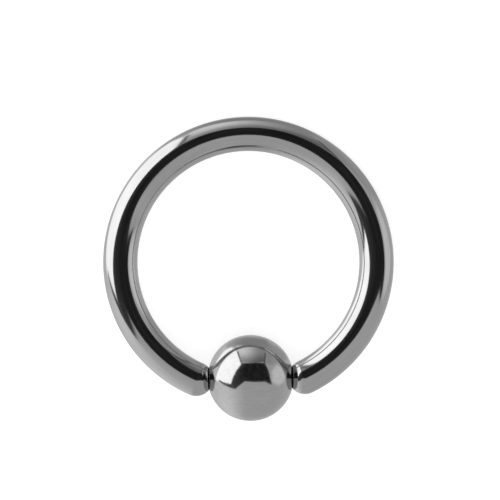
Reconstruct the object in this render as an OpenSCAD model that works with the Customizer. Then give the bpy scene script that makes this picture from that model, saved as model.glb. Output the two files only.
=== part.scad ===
// Captive bead ring, lying on its side with the bead held between the ends of the wire.
// +Z is up, the floor is z = 0, and the bead is on the -Y side of the ring.

/* [Hoop] */
// Thickness of the round wire
wire_d = 1.6; // [1.2:0.1:2.0]
// Inner diameter of the hoop, sprung open by the bead
inner_d = 10.3; // [9:0.1:14]

/* [Bead] */
// Diameter of the bead
bead_d = 4.0; // [3:0.1:5]

/* [Seat] */
// How far the tip of each end reaches into the bead
nose_reach = 0.27; // [0.15:0.01:0.4]
// Running clearance between an end of the wire and its dimple in the bead
seat_gap = 0.05; // [0.02:0.01:0.08]
// Depth of the bevel round the mouth of each dimple
bevel_depth = 0.04; // [0.02:0.01:0.08]
// Half angle of that bevel
bevel_angle = 60; // [45:1:70]

/* [Hidden] */
$fn = 96;
TITANIUM = [0.64, 0.64, 0.66];

wire_r = wire_d / 2;
bead_r = bead_d / 2;
// Radius of the hoop's centre line
hoop_r = inner_d / 2 + wire_r;

// Each end of the wire is rounded about the point where the hoop's centre line crosses the bead's axis.
nose_x = bead_r - nose_reach + wire_r;
end_angle = asin(nose_x / hoop_r);
bead_drop = hoop_r * cos(end_angle);

// The dimple is part of a ball about the same centre, and its bevel starts just below its mouth.
dimple_r = wire_r + seat_gap;
mouth_x = (bead_r ^ 2 + nose_x ^ 2 - dimple_r ^ 2) / (2 * nose_x);
bevel_x = mouth_x - bevel_depth;
bevel_r = sqrt(dimple_r ^ 2 - (nose_x - bevel_x) ^ 2);

// The hoop's far side and the bead both rest on the floor, so the ring leans a little.
lean = asin((bead_r - wire_r) / (hoop_r + bead_drop));
hoop_z = wire_r + hoop_r * sin(lean);
hoop_y = ((bead_drop - hoop_r) * cos(lean) + bead_r - wire_r) / 2;

// Lays the ring down from the plane it is drawn in, where the bead is below the hoop's centre.
module laid() {
    translate([0, hoop_y, hoop_z]) rotate([-lean, 0, 0]) children();
}

// The rounded end of the wire: a ball whose front half carries on from the wire's cut face.
module nose() {
    rotate([0, 0, end_angle]) translate([0, -hoop_r, 0]) rotate([0, -90, 0]) sphere(r = wire_r);
}

// Outline of the recess that takes a nose, as the shape that is cut away.
module dimple() {
    translate([0, nose_x]) circle(r = dimple_r);
    polygon([
        [0, bevel_x],
        [bevel_r, bevel_x],
        [bevel_r + (bead_r - bevel_x) * tan(bevel_angle), bead_r],
        [0, bead_r]
    ]);
}

// One piece of round wire bent to a ring, open at the bead, with a rounded nose at each end.
module hoop() {
    color(TITANIUM) laid() {
        rotate([0, 0, end_angle - 90])
            rotate_extrude(angle = 360 - 2 * end_angle)
                translate([hoop_r, 0]) circle(r = wire_r);
        for (side = [0, 1]) mirror([side, 0, 0]) nose();
    }
}

// A solid ball with a dimple at each end of its axis, turned in one piece about that axis.
module bead() {
    color(TITANIUM) laid() translate([0, -bead_drop, 0]) rotate([0, 90, 0])
        rotate_extrude() difference() {
            intersection() {
                circle(r = bead_r);
                translate([0, -bead_r]) square(bead_d);
            }
            for (side = [0, 1]) mirror([0, side]) dimple();
        }
}

hoop();
bead();
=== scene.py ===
# A captive bead ring lies on its side on a pale table, and the camera looks down square to its hoop.
import math

import bpy
from mathutils import Matrix, Vector


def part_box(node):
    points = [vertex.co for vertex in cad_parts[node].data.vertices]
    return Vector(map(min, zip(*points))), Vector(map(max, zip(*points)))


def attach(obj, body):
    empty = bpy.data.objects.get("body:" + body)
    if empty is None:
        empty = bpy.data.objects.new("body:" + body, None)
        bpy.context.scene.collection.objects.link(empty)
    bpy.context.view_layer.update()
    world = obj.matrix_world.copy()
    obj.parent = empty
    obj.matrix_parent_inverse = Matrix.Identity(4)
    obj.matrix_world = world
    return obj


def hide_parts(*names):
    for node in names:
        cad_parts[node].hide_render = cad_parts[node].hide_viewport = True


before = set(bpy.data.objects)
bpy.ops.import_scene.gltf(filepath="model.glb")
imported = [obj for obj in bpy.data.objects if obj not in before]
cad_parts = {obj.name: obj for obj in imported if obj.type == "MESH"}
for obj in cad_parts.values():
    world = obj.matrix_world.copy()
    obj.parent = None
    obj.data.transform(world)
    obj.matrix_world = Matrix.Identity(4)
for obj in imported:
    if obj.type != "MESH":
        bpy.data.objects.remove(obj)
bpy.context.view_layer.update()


# The hoop is one length of round titanium wire, bent to a circle that is left open for the bead.
# Each end is rounded to a ball of the wire's own thickness. The wire is drawn, bent, and then
# polished along its length, so what marks are left run with the wire.
MM = 0.001
WIRE_RADIUS = 0.8 * MM
HOOP_RADIUS = 5.95 * MM
BEAD_RADIUS = 2.0 * MM
NOSE_REACH = 0.27 * MM
NOSE_TIP = 0.02 * MM
HOOP_RINGS = 640
HOOP_SIDES = 96

# The polish: how bright and rough the metal is, and how strong its haze, fine lines and scratches are
TITANIUM = (0.47, 0.47, 0.472, 1.0)
WORN_SHARE = 0.88
POLISHED_ROUGHNESS = 0.075
WORN_ADDS = 0.05
SCRATCH_ADDS = 0.03
PATCH_EDGES = (0.3, 0.7)
HAZE_SCALE = 420.0
HAZE_DETAIL = 3.0
LINE_DETAIL = 4.0
SCRATCH_SCALE = 0.35
SCRATCH_DETAIL = 1.0
SCRATCH_WIDTH = 0.012
LINE_HEIGHT = 0.6
SCRATCH_DEPTH = 0.4
MARK_HEIGHT = 0.0004 * MM
WIRE_LINES = (500.0, 7000.0, 7000.0)

bead_low, bead_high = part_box("bead")
bead_centre = Vector((0, (bead_low.y + bead_high.y) / 2, BEAD_RADIUS))
nose_x = BEAD_RADIUS - NOSE_REACH + WIRE_RADIUS
end_angle = math.asin(nose_x / HOOP_RADIUS)
bead_drop = HOOP_RADIUS * math.cos(end_angle)
lean = math.asin((BEAD_RADIUS - WIRE_RADIUS) / (HOOP_RADIUS + bead_drop))


class Output:
    """One output of a node. Python's sums on it add Math nodes to its tree."""

    def __init__(self, socket):
        self.socket = socket

    @staticmethod
    def of(tree, kind, settings=None, inputs=None, output=0):
        """Adds a node of a kind with its settings and then its inputs, and gives one of its outputs."""
        node = tree.nodes.new(kind)
        for name, value in (settings or {}).items():
            setattr(node, name, value)
        for name, value in (inputs or {}).items():
            if isinstance(value, Output):
                tree.links.new(value.socket, node.inputs[name])
            else:
                node.inputs[name].default_value = value
        return Output(node.outputs[output])

    def sum(self, operation, *terms):
        """A Math node on these terms, in this order."""
        inputs = dict(enumerate(terms))
        return self.of(self.socket.id_data, "ShaderNodeMath", {"operation": operation}, inputs)

    def __add__(self, other):
        return self.sum("ADD", self, other)

    def __sub__(self, other):
        return self.sum("SUBTRACT", self, other)

    def __rsub__(self, other):
        return self.sum("SUBTRACT", other, self)

    def __mul__(self, other):
        return self.sum("MULTIPLY", self, other)

    def __truediv__(self, other):
        return self.sum("DIVIDE", self, other)

    def __pow__(self, other):
        return self.sum("POWER", self, other)

    def __abs__(self):
        return self.sum("ABSOLUTE", self)

    __radd__ = __add__
    __rmul__ = __mul__

    def sine(self):
        return self.sum("SINE", self)

    def cosine(self):
        return self.sum("COSINE", self)

    def sign(self):
        return self.sum("SIGN", self)

    def least(self, other):
        return self.sum("MINIMUM", self, other)

    def most(self, other):
        return self.sum("MAXIMUM", self, other)

    def smooth(self, low, high):
        """Rises from 0 at low to 1 at high, with soft ends."""
        return self.of(
            self.socket.id_data,
            "ShaderNodeMapRange",
            {"interpolation_type": "SMOOTHSTEP"},
            {"Value": self, "From Min": low, "From Max": high},
        )

    def choose(self, when_one, when_zero):
        """A number between two others, by this share."""
        return when_zero + self * (when_one - when_zero)


def wire_ring_tree():
    """A tree that sweeps the wire round the hoop, rounds off its ends and lays it down."""
    tree = bpy.data.node_groups.new("wire_ring", "GeometryNodeTree")
    tree.is_modifier = True
    tree.interface.new_socket(name="Geometry", in_out="OUTPUT", socket_type="NodeSocketGeometry")
    for name in ("Hoop Radius", "Wire Radius", "Nose Tip", "End Angle", "Lean"):
        tree.interface.new_socket(name=name, in_out="INPUT", socket_type="NodeSocketFloat")
    for name in ("Rings", "Sides"):
        tree.interface.new_socket(name=name, in_out="INPUT", socket_type="NodeSocketInt")
    tree.interface.new_socket(name="Place", in_out="INPUT", socket_type="NodeSocketVector")
    tree.interface.new_socket(name="Metal", in_out="INPUT", socket_type="NodeSocketMaterial")
    given = tree.nodes.new("NodeGroupInput")
    sizes = {socket.name: Output(socket) for socket in given.outputs if socket.name}
    hoop = sizes["Hoop Radius"]
    wire = sizes["Wire Radius"]

    # Points along the wire's middle, from one tip to the other, set closer together at the tips
    line = Output.of(tree, "GeometryNodeMeshLine", {"mode": "OFFSET"}, {"Count": sizes["Rings"]})
    path = Output.of(tree, "GeometryNodeMeshToCurve", None, {"Mesh": line})
    share = (Output.of(tree, "GeometryNodeInputIndex") / (sizes["Rings"] - 1)).smooth(0.0, 1.0)
    half_arc = hoop * (math.pi - sizes["End Angle"])
    from_middle = (share * 2 - 1) * (half_arc + wire)

    # The wire's middle follows the hoop's circle to the rounded end, and runs straight on inside it
    past_arc = (abs(from_middle) - half_arc).most(0)
    turn = abs(from_middle).least(half_arc) / hoop
    sideways = (hoop * turn.sine() + past_arc * turn.cosine()) * from_middle.sign()
    upward = hoop * turn.cosine() - past_arc * turn.sine()
    point = Output.of(tree, "ShaderNodeCombineXYZ", None, {"X": sideways, "Y": upward})
    path = Output.of(tree, "GeometryNodeSetPosition", None, {"Geometry": path, "Position": point})
    path = Output.of(tree, "GeometryNodeSetCurveNormal", {"mode": "Z_UP"}, {"Curve": path})
    radius = (wire ** 2 - past_arc ** 2).most(sizes["Nose Tip"] ** 2) ** 0.5

    # What the polish follows: the way along the wire, and the way round it without a seam
    along = Output.of(tree, "GeometryNodeSplineParameter", output="Length")
    path = Output.of(
        tree,
        "GeometryNodeStoreNamedAttribute",
        {"data_type": "FLOAT", "domain": "POINT"},
        {"Geometry": path, "Name": "along", "Value": along},
    )
    circle = Output.of(
        tree,
        "GeometryNodeCurvePrimitiveCircle",
        {"mode": "RADIUS"},
        {"Resolution": sizes["Sides"], "Radius": 1.0},
    )
    round_share = Output.of(tree, "GeometryNodeSplineParameter", output="Factor")
    circle = Output.of(
        tree,
        "GeometryNodeStoreNamedAttribute",
        {"data_type": "FLOAT", "domain": "POINT"},
        {"Geometry": circle, "Name": "around", "Value": round_share},
    )
    swept = Output.of(
        tree,
        "GeometryNodeCurveToMesh",
        None,
        {"Curve": path, "Profile Curve": circle, "Scale": radius, "Fill Caps": True},
    )
    along = Output.of(tree, "GeometryNodeInputNamedAttribute", {"data_type": "FLOAT"}, {"Name": "along"})
    around = Output.of(tree, "GeometryNodeInputNamedAttribute", {"data_type": "FLOAT"}, {"Name": "around"})
    around = around * math.tau
    marks_way = Output.of(
        tree,
        "ShaderNodeCombineXYZ",
        None,
        {"X": along, "Y": wire * around.cosine(), "Z": wire * around.sine()},
    )
    swept = Output.of(
        tree,
        "GeometryNodeStoreNamedAttribute",
        {"data_type": "FLOAT_VECTOR", "domain": "POINT"},
        {"Geometry": swept, "Name": "wire_way", "Value": marks_way},
    )
    tilt = Output.of(tree, "ShaderNodeCombineXYZ", None, {"X": 0 - sizes["Lean"]})
    laid = Output.of(
        tree,
        "GeometryNodeTransform",
        None,
        {"Geometry": swept, "Translation": sizes["Place"], "Rotation": tilt},
    )
    laid = Output.of(tree, "GeometryNodeSetShadeSmooth", None, {"Geometry": laid})
    laid = Output.of(tree, "GeometryNodeRealizeInstances", None, {"Geometry": laid})
    laid = Output.of(
        tree, "GeometryNodeSetMaterial", None, {"Geometry": laid, "Material": sizes["Metal"]}
    )
    result = tree.nodes.new("NodeGroupOutput")
    tree.links.new(laid.socket, result.inputs["Geometry"])
    return tree


def noise(tree, place, scale, detail):
    """Soft random patches, between nought and one."""
    return Output.of(tree, "ShaderNodeTexNoise", None, {"Vector": place, "Scale": scale, "Detail": detail})


def polished_metal(name, way, lines):
    """Bright titanium. Way gives the vector that its marks follow, and lines how close they lie in each."""
    material = bpy.data.materials.new(name)
    material.use_nodes = True
    tree = material.node_tree
    shader = tree.nodes["Principled BSDF"]
    shader.inputs["Metallic"].default_value = 1.0
    place = way(tree)
    haze = noise(tree, place, HAZE_SCALE, HAZE_DETAIL)
    stretched = Output.of(
        tree, "ShaderNodeMapping", {"vector_type": "POINT"}, {"Vector": place, "Scale": lines}
    )
    fine_lines = noise(tree, stretched, 1.0, LINE_DETAIL)
    far_lines = noise(tree, stretched, SCRATCH_SCALE, SCRATCH_DETAIL)
    scratch = abs(far_lines - 0.5).smooth(SCRATCH_WIDTH, 0.0)
    worn = 0.5 * haze.smooth(*PATCH_EDGES) + 0.5 * fine_lines.smooth(*PATCH_EDGES)
    rough = POLISHED_ROUGHNESS + WORN_ADDS * worn + SCRATCH_ADDS * scratch
    tree.links.new(rough.socket, shader.inputs["Roughness"])
    worn_titanium = [part * WORN_SHARE for part in TITANIUM[:3]] + [1.0]
    tone = Output.of(
        tree,
        "ShaderNodeMix",
        {"data_type": "RGBA"},
        {"Factor": worn, 6: TITANIUM, 7: worn_titanium},
        output=2,
    )
    tree.links.new(tone.socket, shader.inputs["Base Color"])
    height = fine_lines * LINE_HEIGHT - scratch * SCRATCH_DEPTH
    relief = Output.of(
        tree, "ShaderNodeBump", None, {"Height": height, "Strength": 1.0, "Distance": MARK_HEIGHT}
    )
    tree.links.new(relief.socket, shader.inputs["Normal"])
    return material


def wire_way(tree):
    return Output.of(tree, "ShaderNodeAttribute", {"attribute_name": "wire_way"}, output="Vector")


wire_polish = polished_metal("wire_polish", wire_way, WIRE_LINES)
ring_tree = wire_ring_tree()
hoop_values = {
    "Hoop Radius": HOOP_RADIUS,
    "Wire Radius": WIRE_RADIUS,
    "Nose Tip": NOSE_TIP,
    "End Angle": end_angle,
    "Lean": lean,
    "Rings": HOOP_RINGS,
    "Sides": HOOP_SIDES,
    "Place": bead_centre + Vector((0, bead_drop * math.cos(lean), -bead_drop * math.sin(lean))),
    "Metal": wire_polish,
}


def grown(tree, values, name):
    """The plain mesh that a Geometry Nodes tree makes with these values, as an object at the origin."""
    blank = bpy.data.objects.new(name + "_tree", bpy.data.meshes.new(name + "_tree"))
    bpy.context.scene.collection.objects.link(blank)
    modifier = blank.modifiers.new("grow", "NODES")
    modifier.node_group = tree
    for socket in tree.interface.items_tree:
        if socket.in_out == "INPUT":
            modifier[socket.identifier] = values[socket.name]
    depsgraph = bpy.context.evaluated_depsgraph_get()
    mesh = bpy.data.meshes.new_from_object(blank.evaluated_get(depsgraph), depsgraph=depsgraph)
    bpy.data.objects.remove(blank)
    mesh.name = name
    piece = bpy.data.objects.new(name, mesh)
    bpy.context.scene.collection.objects.link(piece)
    return piece


wire_hoop = grown(ring_tree, hoop_values, "wire_hoop")
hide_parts("hoop")
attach(wire_hoop, "hoop")


# The bead is a solid titanium ball, turned and then tumbled bright. A shallow round dimple is sunk in it
# at each end of its axis for the hoop's ends, and the dimple's lip is rubbed soft so that it doesn't bite.
SEAT_GAP = 0.05 * MM
LIP_ROUND = 0.07 * MM
DIMPLE_STEPS = 18
LIP_STEPS = 12
BALL_STEPS = 60
BEAD_SEGMENTS = 192
SHARP_ANGLE = math.radians(40)
BALL_LINES = (1500.0, 9000.0, 9000.0)


def arc(centre_x, centre_r, radius, start, end, steps):
    """Points (x, radius) along a part of a circle, from its start angle up to, but without, its end."""
    angles = [start + (end - start) * step / steps for step in range(steps)]
    return [(centre_x + radius * math.cos(a), centre_r + radius * math.sin(a)) for a in angles]


def half_profile():
    """Points (x, radius) of the bead's outline, from the dimple's deepest place to the ball's widest."""
    # The lip's round touches the dimple from outside and the ball from inside.
    dimple_radius = WIRE_RADIUS + SEAT_GAP
    to_ball = BEAD_RADIUS - LIP_ROUND
    to_dimple = dimple_radius + LIP_ROUND
    lip_x = (to_ball ** 2 + nose_x ** 2 - to_dimple ** 2) / (2 * nose_x)
    lip_r = math.sqrt(to_ball ** 2 - lip_x ** 2)
    dimple_end = math.atan2(lip_r, nose_x - lip_x)
    ball_start = math.atan2(lip_r, lip_x)
    points = arc(nose_x, 0, dimple_radius, math.pi, math.pi - dimple_end, DIMPLE_STEPS)
    points[0] = (nose_x - dimple_radius, 0)
    points += arc(lip_x, lip_r, LIP_ROUND, -dimple_end, ball_start, LIP_STEPS)
    points += arc(0, 0, BEAD_RADIUS, ball_start, math.pi / 2, BALL_STEPS)
    return points + [(0, BEAD_RADIUS)]


half = half_profile()
outline = half + [(-x, r) for x, r in reversed(half[:-1])]
vertices = []
faces = []
for x, r in outline:
    if r == 0:
        vertices.append(bead_centre + Vector((x, 0, 0)))
        continue
    for segment in range(BEAD_SEGMENTS):
        turn = math.tau * segment / BEAD_SEGMENTS
        vertices.append(bead_centre + Vector((x, r * math.cos(turn), r * math.sin(turn))))
rows = len(outline) - 2
last = len(vertices) - 1
for segment in range(BEAD_SEGMENTS):
    beside = (segment + 1) % BEAD_SEGMENTS
    faces.append((0, 1 + segment, 1 + beside))
    for row in range(rows - 1):
        near = 1 + row * BEAD_SEGMENTS
        far = near + BEAD_SEGMENTS
        faces.append((near + segment, far + segment, far + beside, near + beside))
    end_row = 1 + (rows - 1) * BEAD_SEGMENTS
    faces.append((end_row + segment, last, end_row + beside))
ball_mesh = bpy.data.meshes.new("ball_bead")
ball_mesh.from_pydata(vertices, [], faces)
ball_mesh.polygons.foreach_set("use_smooth", [True] * len(faces))
ball_mesh.set_sharp_from_angle(angle=SHARP_ANGLE)


def ball_way(tree):
    centred = Output.of(tree, "ShaderNodeTexCoord", output="Object")
    return Output.of(
        tree, "ShaderNodeMapping", {"vector_type": "POINT"}, {"Vector": centred, "Location": -bead_centre}
    )


ball_mesh.materials.append(polished_metal("ball_polish", ball_way, BALL_LINES))
ball_bead = bpy.data.objects.new("ball_bead", ball_mesh)
bpy.context.scene.collection.objects.link(ball_bead)
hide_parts("bead")
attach(ball_bead, "bead")


# The camera looks down square to the leaning hoop, as the photograph does. The ring's size and place in
# the frame are given in the picture's pixels, and the ring is turned a little in it.
FRAME_PIXELS = 500
PIXELS_PER_MM = 21.53
RING_ACROSS, RING_DOWN = 248.45, 262.0
ROLL = math.radians(1.06)
CAMERA_REACH = 200 * MM
CAMERA_NEAR = 10 * MM
CAMERA_FAR = 5000 * MM

laid_down = Matrix.Rotation(-lean, 3, "X")
picture_right = laid_down @ Vector((math.cos(ROLL), -math.sin(ROLL), 0))
picture_up = laid_down @ Vector((math.sin(ROLL), math.cos(ROLL), 0))
to_camera = laid_down @ Vector((0, 0, 1))
hoop_centre = hoop_values["Place"]
pixel = MM / PIXELS_PER_MM
aim = (
    hoop_centre
    + picture_right * (FRAME_PIXELS / 2 - RING_ACROSS) * pixel
    + picture_up * (RING_DOWN - FRAME_PIXELS / 2) * pixel
)
camera = bpy.data.objects.new("camera", bpy.data.cameras.new("camera"))
camera.data.lens = camera.data.sensor_width * CAMERA_REACH / (FRAME_PIXELS * pixel)
camera.data.clip_start = CAMERA_NEAR
camera.data.clip_end = CAMERA_FAR
camera.location = aim + to_camera * CAMERA_REACH
camera.rotation_euler = Matrix((picture_right, picture_up, to_camera)).transposed().to_euler()
bpy.context.scene.collection.objects.link(camera)
bpy.context.scene.camera = camera


# The ring lies on a table of frosted white sheet that is lit a little from below, so the ring's shadow
# is faint. The metal doesn't mirror the table: the tent gives what it mirrors on all sides.
TABLE_HALF = 600 * MM
SHEET_GREY = 0.6
SHEET_ROUGHNESS = 0.9
SHEET_GLOW = 0.68

table_corners = [(x * TABLE_HALF, y * TABLE_HALF, 0) for x, y in ((-1, -1), (1, -1), (1, 1), (-1, 1))]
table_mesh = bpy.data.meshes.new("table")
table_mesh.from_pydata(table_corners, [], [(0, 1, 2, 3)])
table = bpy.data.objects.new("table", table_mesh)
bpy.context.scene.collection.objects.link(table)
table_material = bpy.data.materials.new("frosted_sheet")
table_material.use_nodes = True
sheet = table_material.node_tree.nodes["Principled BSDF"]
sheet.inputs["Base Color"].default_value = (SHEET_GREY, SHEET_GREY, SHEET_GREY, 1)
sheet.inputs["Roughness"].default_value = SHEET_ROUGHNESS
sheet.inputs["Specular IOR Level"].default_value = 0.0
sheet.inputs["Emission Color"].default_value = (1, 1, 1, 1)
sheet.inputs["Emission Strength"].default_value = SHEET_GLOW
table_mesh.materials.append(table_material)
table.visible_glossy = False


# Round the table stands a light tent of white cloth. Its open front, where the camera looks in, is the
# dark shape in the middle of every reflection, and its seams are the thin dark lines.
# Directions are degrees to the right of and above the line to the camera, as the picture shows them.
PANEL_SOFT = 1.5
LEAST_PART = 0.0001

tent = bpy.data.worlds.new("light_tent")
bpy.context.scene.world = tent
tent.use_nodes = True
tree = tent.node_tree
toward = Output.of(tree, "ShaderNodeTexCoord", output="Generated")


def part_along(axis):
    return Output.of(
        tree, "ShaderNodeVectorMath", {"operation": "DOT_PRODUCT"}, {0: toward, 1: axis}, output="Value"
    )


right_part = part_along(picture_right)
up_part = part_along(picture_up)
flat = (right_part ** 2 + up_part ** 2) ** 0.5
off_axis = flat.sum("ARCTAN2", flat, part_along(to_camera)) * math.degrees(1)
per_part = off_axis / flat.most(LEAST_PART)
across = right_part * per_part
above = up_part * per_part


def inside_edge(start, end):
    """How many degrees a direction lies to the left of the edge from start to end."""
    length = math.dist(start, end)
    over, along = (start[1] - end[1]) / length, (end[0] - start[0]) / length
    return across * over + above * along - (start[0] * over + start[1] * along)


def panel(corners, soft=PANEL_SOFT):
    """One inside a panel whose corners are named anticlockwise, and nought outside, with a soft edge."""
    nearest = None
    for start, end in zip(corners, corners[1:] + corners[:1]):
        edge = inside_edge(start, end)
        nearest = edge if nearest is None else nearest.least(edge)
    return nearest.smooth(-soft, soft)


# The front hangs open: a wide slot, a foot that sags at its left, and a point at its right
OPENING_LOW = [(-51, -5), (12, -9.5), (38, -8.5), (53.5, -2), (52, 12), (47, 28)]
OPENING = OPENING_LOW + [(39, 42.5), (12, 43.5), (-24, 41), (-40, 20)]
OPENING_FOOT = [(-46, 8), (-51, -5), (-54, -16), (-42, -29.5), (-16, -7.5), (-15, 5)]
OPENING_POINT = [(38, -8.5), (60, -18), (53.5, 0), (45, 5), (30, 5)]
DIM_LIGHT = 0.016
DIM_SHAPES = 0.02
DIM_SHAPES_SCALE = 7.0
DIM_SHAPES_DETAIL = 2.0
DIM_SHAPES_EDGES = (0.4, 0.7)
DIM_LEFT_ADDS = 0.055
DIM_LEFT = (8, 54)

# The cloth round the opening: bright at the left, dim above, and grey at the right and below
CLOTH_LIGHT = 0.64
LEFT_ADDS = 0.42
LEFT_RISE = (8, 72)
FAR_LEFT_TAKES = 0.16
FAR_LEFT = (80, 120)
FAR_RIGHT_ADDS = 0.05
FAR_RIGHT = (60, 125)
EVEN_BEHIND = (172, 125)
LEFT_CLOTH_FRONT = [(-104, -8), (-54, -19), (-24, 41), (-39, 79)]
LEFT_CLOTH = LEFT_CLOTH_FRONT + [(-62, 97), (-85, 88), (-112, 51), (-114, 20), (-110, 0)]
LEFT_CLOTH_LIGHT = 2.05
TOP_CLOTH = [(-24, 41), (12, 43.5), (39, 42.5), (46, 100), (-44, 100), (-39, 79)]
TOP_LIGHT = 0.26
TOP_ADDS = 0.42
TOP_RISE = (42, 80)
TOP_LEFT_SHARE = 1.72
TOP_RIGHT_TAKES = 1.05
TOP_FALL = (-25, 30)
RIGHT_CLOTH = [(60, -10), (80, -22), (100, -12), (107, 8), (98, 28), (77, 39), (60, 21)]
RIGHT_CLOTH_LIGHT = 1.0
RIGHT_SHADE = [(42, 42), (60, 38), (100, 50), (135, 62), (135, 90), (70, 115), (47, 78)]
RIGHT_SHADE_LIGHT = 0.48
RIGHT_SHADE_ADDS = 0.06
RIGHT_SHADE_RISE = (52, 76)
BACK_SHADE = [(-80, 98), (66, 94), (60, 140), (-66, 146), (-94, 118)]
BACK_SHADE_LIGHT = 0.42
BACK_SHADE_ADDS = 0.22
BACK_SHADE_RISE = (10, 90)
SHADE_SOFT = 6.0
BACK_SOFT = 12.0
LEFT_SOFT = 4.0

# The seams between the cloths, and the hem that runs on from the foot
LEFT_SEAM = [(-26.4, 39.5), (-22, 39.5), (-37, 80), (-41.4, 80)]
RIGHT_SEAM = [(40.5, 41), (45.6, 75), (41.4, 75), (36.5, 41)]
FOOT_SEAM_NEAR = [(-53, -16), (-78, -12), (-79, -18), (-60, -25), (-42, -29.5)]
FOOT_SEAM_FAR = [(-78, -12), (-94, -5), (-95, -9), (-79, -18)]
SEAM_LIGHT = 0.1
SEAM_SOFT = 1.0
FOOT_SEAM_LIGHT = 0.06

# What the camera itself sees of the tent, past the table's edge
BACKDROP_LIGHT = 0.95

leftward = 0 - across
one_sided = (
    LEFT_ADDS * leftward.smooth(*LEFT_RISE)
    - FAR_LEFT_TAKES * leftward.smooth(*FAR_LEFT)
    + FAR_RIGHT_ADDS * across.smooth(*FAR_RIGHT)
)
light = CLOTH_LIGHT + one_sided * off_axis.smooth(*EVEN_BEHIND)
back_light = BACK_SHADE_LIGHT + BACK_SHADE_ADDS * leftward.smooth(*BACK_SHADE_RISE)
light = panel(BACK_SHADE, BACK_SOFT).choose(back_light, light)
shade_light = RIGHT_SHADE_LIGHT + RIGHT_SHADE_ADDS * across.smooth(*RIGHT_SHADE_RISE)
light = panel(RIGHT_SHADE, SHADE_SOFT).choose(shade_light, light)
light = panel(RIGHT_CLOTH, SHADE_SOFT).choose(RIGHT_CLOTH_LIGHT, light)
top_light = TOP_LIGHT + TOP_ADDS * above.smooth(*TOP_RISE)
top_light = top_light * (TOP_LEFT_SHARE - TOP_RIGHT_TAKES * across.smooth(*TOP_FALL))
light = panel(TOP_CLOTH).choose(top_light, light)
light = panel(LEFT_CLOTH, LEFT_SOFT).choose(LEFT_CLOTH_LIGHT, light)
light = panel(LEFT_SEAM, SEAM_SOFT).choose(SEAM_LIGHT, light)
light = panel(RIGHT_SEAM).choose(SEAM_LIGHT, light)
for seam in (FOOT_SEAM_NEAR, FOOT_SEAM_FAR):
    light = panel(seam).choose(FOOT_SEAM_LIGHT, light)
dim_shapes = noise(tree, toward, DIM_SHAPES_SCALE, DIM_SHAPES_DETAIL)
dim_light = DIM_LIGHT + DIM_SHAPES * dim_shapes.smooth(*DIM_SHAPES_EDGES)
dim_light = dim_light + DIM_LEFT_ADDS * leftward.smooth(*DIM_LEFT)
for part in (OPENING, OPENING_FOOT, OPENING_POINT):
    light = panel(part).choose(dim_light, light)
seen = Output.of(tree, "ShaderNodeLightPath", output="Is Camera Ray")
light = seen.choose(BACKDROP_LIGHT, light)
background = tree.nodes["Background"]
tree.links.new(light.socket, background.inputs["Strength"])
background.inputs["Color"].default_value = (1, 1, 1, 1)


# A broad lamp overhead lights the table and doesn't show in the metal. It brings the table up to the
# white of the picture's ground.
LAMP_WATTS = 0.35
LAMP_SIZE = 260 * MM
LAMP_HEIGHT = 320 * MM

lamp = bpy.data.objects.new("table_lamp", bpy.data.lights.new("table_lamp", "AREA"))
lamp.data.shape = "DISK"
lamp.data.size = LAMP_SIZE
lamp.data.energy = LAMP_WATTS
lamp.location = (0, 0, LAMP_HEIGHT)
lamp.visible_glossy = False
bpy.context.scene.collection.objects.link(lamp)

bpy.context.scene.view_settings.view_transform = "Standard"
